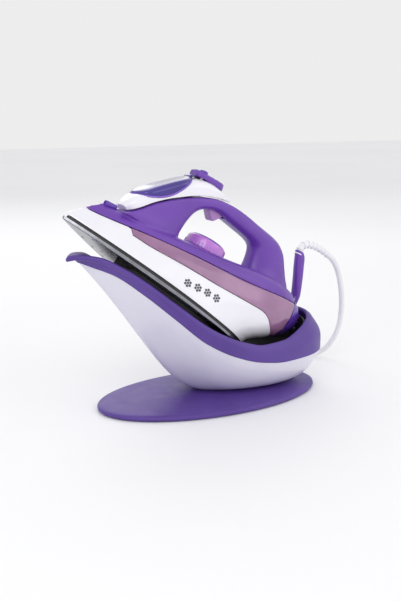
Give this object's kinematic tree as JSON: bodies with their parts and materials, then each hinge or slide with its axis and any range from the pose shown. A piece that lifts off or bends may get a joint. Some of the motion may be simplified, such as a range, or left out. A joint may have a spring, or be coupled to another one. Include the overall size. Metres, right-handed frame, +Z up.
{
  "type": "steam iron in a resting dock",
  "caption": "Corded steam iron with an open arched handle, dial, spray and steam controls, leaning nose up in a boat-shaped dock on a leaf-shaped base.",
  "frame": {"origin": "middle of the base mat's underside, on the table", "axes": "+X along the dock towards the iron's heel, +Y across, +Z up from the table"},
  "size_m": [0.3765, 0.239, 0.2442],
  "materials": {
    "purple_housing": "satin moulded ABS",
    "deep_purple_gloss": "polished",
    "white_housing": "satin",
    "pink_translucent": "clear tinted",
    "magenta_dial": "semi-gloss tinted",
    "pink_trigger": "semi-gloss",
    "lilac_rim": "satin",
    "black_heatproof": "matt phenolic",
    "black_rubber": "matt",
    "sole_steel": "polished coating",
    "cast_aluminium": "as cast",
    "steel": "plated",
    "ballast_iron": "bare",
    "brass": "drawn",
    "white_nylon": "matt",
    "ceramic_white": "matt",
    "white_cord": "smooth PVC"
  },
  "bodies": {
    "dock": {"base_mat": "black_rubber", "base_plate": "lilac_rim", "base_weight": "ballast_iron", "base_screws": "steel", "hull_shell": "white_housing", "dock_rim": "lilac_rim", "rest_tray": "black_heatproof", "rest_pad": "black_heatproof", "tray_screws": "steel", "cord_tube": "white_cord", "cord_coil": "white_cord", "coil_tie": "black_rubber", "plug_lead": "white_cord", "plug_body": "white_cord", "plug_pins": "brass"},
    "iron": {"sole_plate": "sole_steel", "heater_casting": "cast_aluminium", "heating_element": "steel", "chamber_cover": "steel", "heat_shield": "black_heatproof", "sole_screws": "steel", "skirt": "white_housing", "water_tank": "pink_translucent", "tank_lid": "pink_translucent", "shaft_sleeve": "white_nylon", "drip_valve": "brass", "thermostat": "brass", "thermal_fuse": "ceramic_white", "upper_body": "purple_housing", "handle": "purple_housing", "top_cover": "white_housing", "button_panel": "purple_housing", "fill_neck": "white_nylon", "spray_nozzle": "deep_purple_gloss", "pump_barrels": "white_nylon", "pump_springs": "steel", "heel_cap": "deep_purple_gloss", "heel_screws": "steel", "terminal_block": "ceramic_white", "cord_clamp": "steel", "door_pin": "steel", "trigger_pin": "steel"},
    "dial": {"temperature_dial": "magenta_dial", "dial_shaft": "steel"},
    "spray": {"spray_button": "deep_purple_gloss", "spray_piston": "white_nylon"},
    "steam": {"steam_button": "deep_purple_gloss", "steam_piston": "white_nylon"},
    "trigger": {"steam_trigger": "pink_trigger"},
    "door": {"fill_door": "deep_purple_gloss"},
    "guard": {"cord_guard": "purple_housing", "guard_pivot": "white_nylon", "strain_relief": "white_cord"}
  },
  "joints": [
    {"name": "iron_lift", "type": "slide", "parent": "dock", "child": "iron", "axis": [0, 0, 1], "range_m": [0, 0.12]},
    {"name": "dial_turn", "type": "hinge", "parent": "iron", "child": "dial", "pos_m": [-0.01004, 0, 0.1572], "axis": [0.5807, 0, 0.8142], "range_deg": [0, 270]},
    {"name": "spray_press", "type": "slide", "parent": "iron", "child": "spray", "axis": [-0.3875, 0, -0.9219], "range_m": [0, 0.0022], "stiffness_N_per_m": 800, "springref_m": -0.001},
    {"name": "steam_press", "type": "slide", "parent": "iron", "child": "steam", "axis": [-0.3875, 0, -0.9219], "range_m": [0, 0.0022], "stiffness_N_per_m": 800, "springref_m": -0.001},
    {"name": "trigger_pull", "type": "hinge", "parent": "iron", "child": "trigger", "pos_m": [-0.00055, 0, 0.20731], "axis": [0, -1, 0], "range_deg": [0, 7], "stiffness_Nm_per_rad": 0.3, "springref_deg": -5.73},
    {"name": "door_open", "type": "hinge", "parent": "iron", "child": "door", "pos_m": [-0.02569, 0, 0.23668], "axis": [0, 1, 0], "range_deg": [0, 80]},
    {"name": "guard_swing", "type": "hinge", "parent": "iron", "child": "guard", "pos_m": [0.1056, 0, 0.0952], "axis": [0.7793, 0, -0.6266], "range_deg": [-20, 20]}
  ]
}
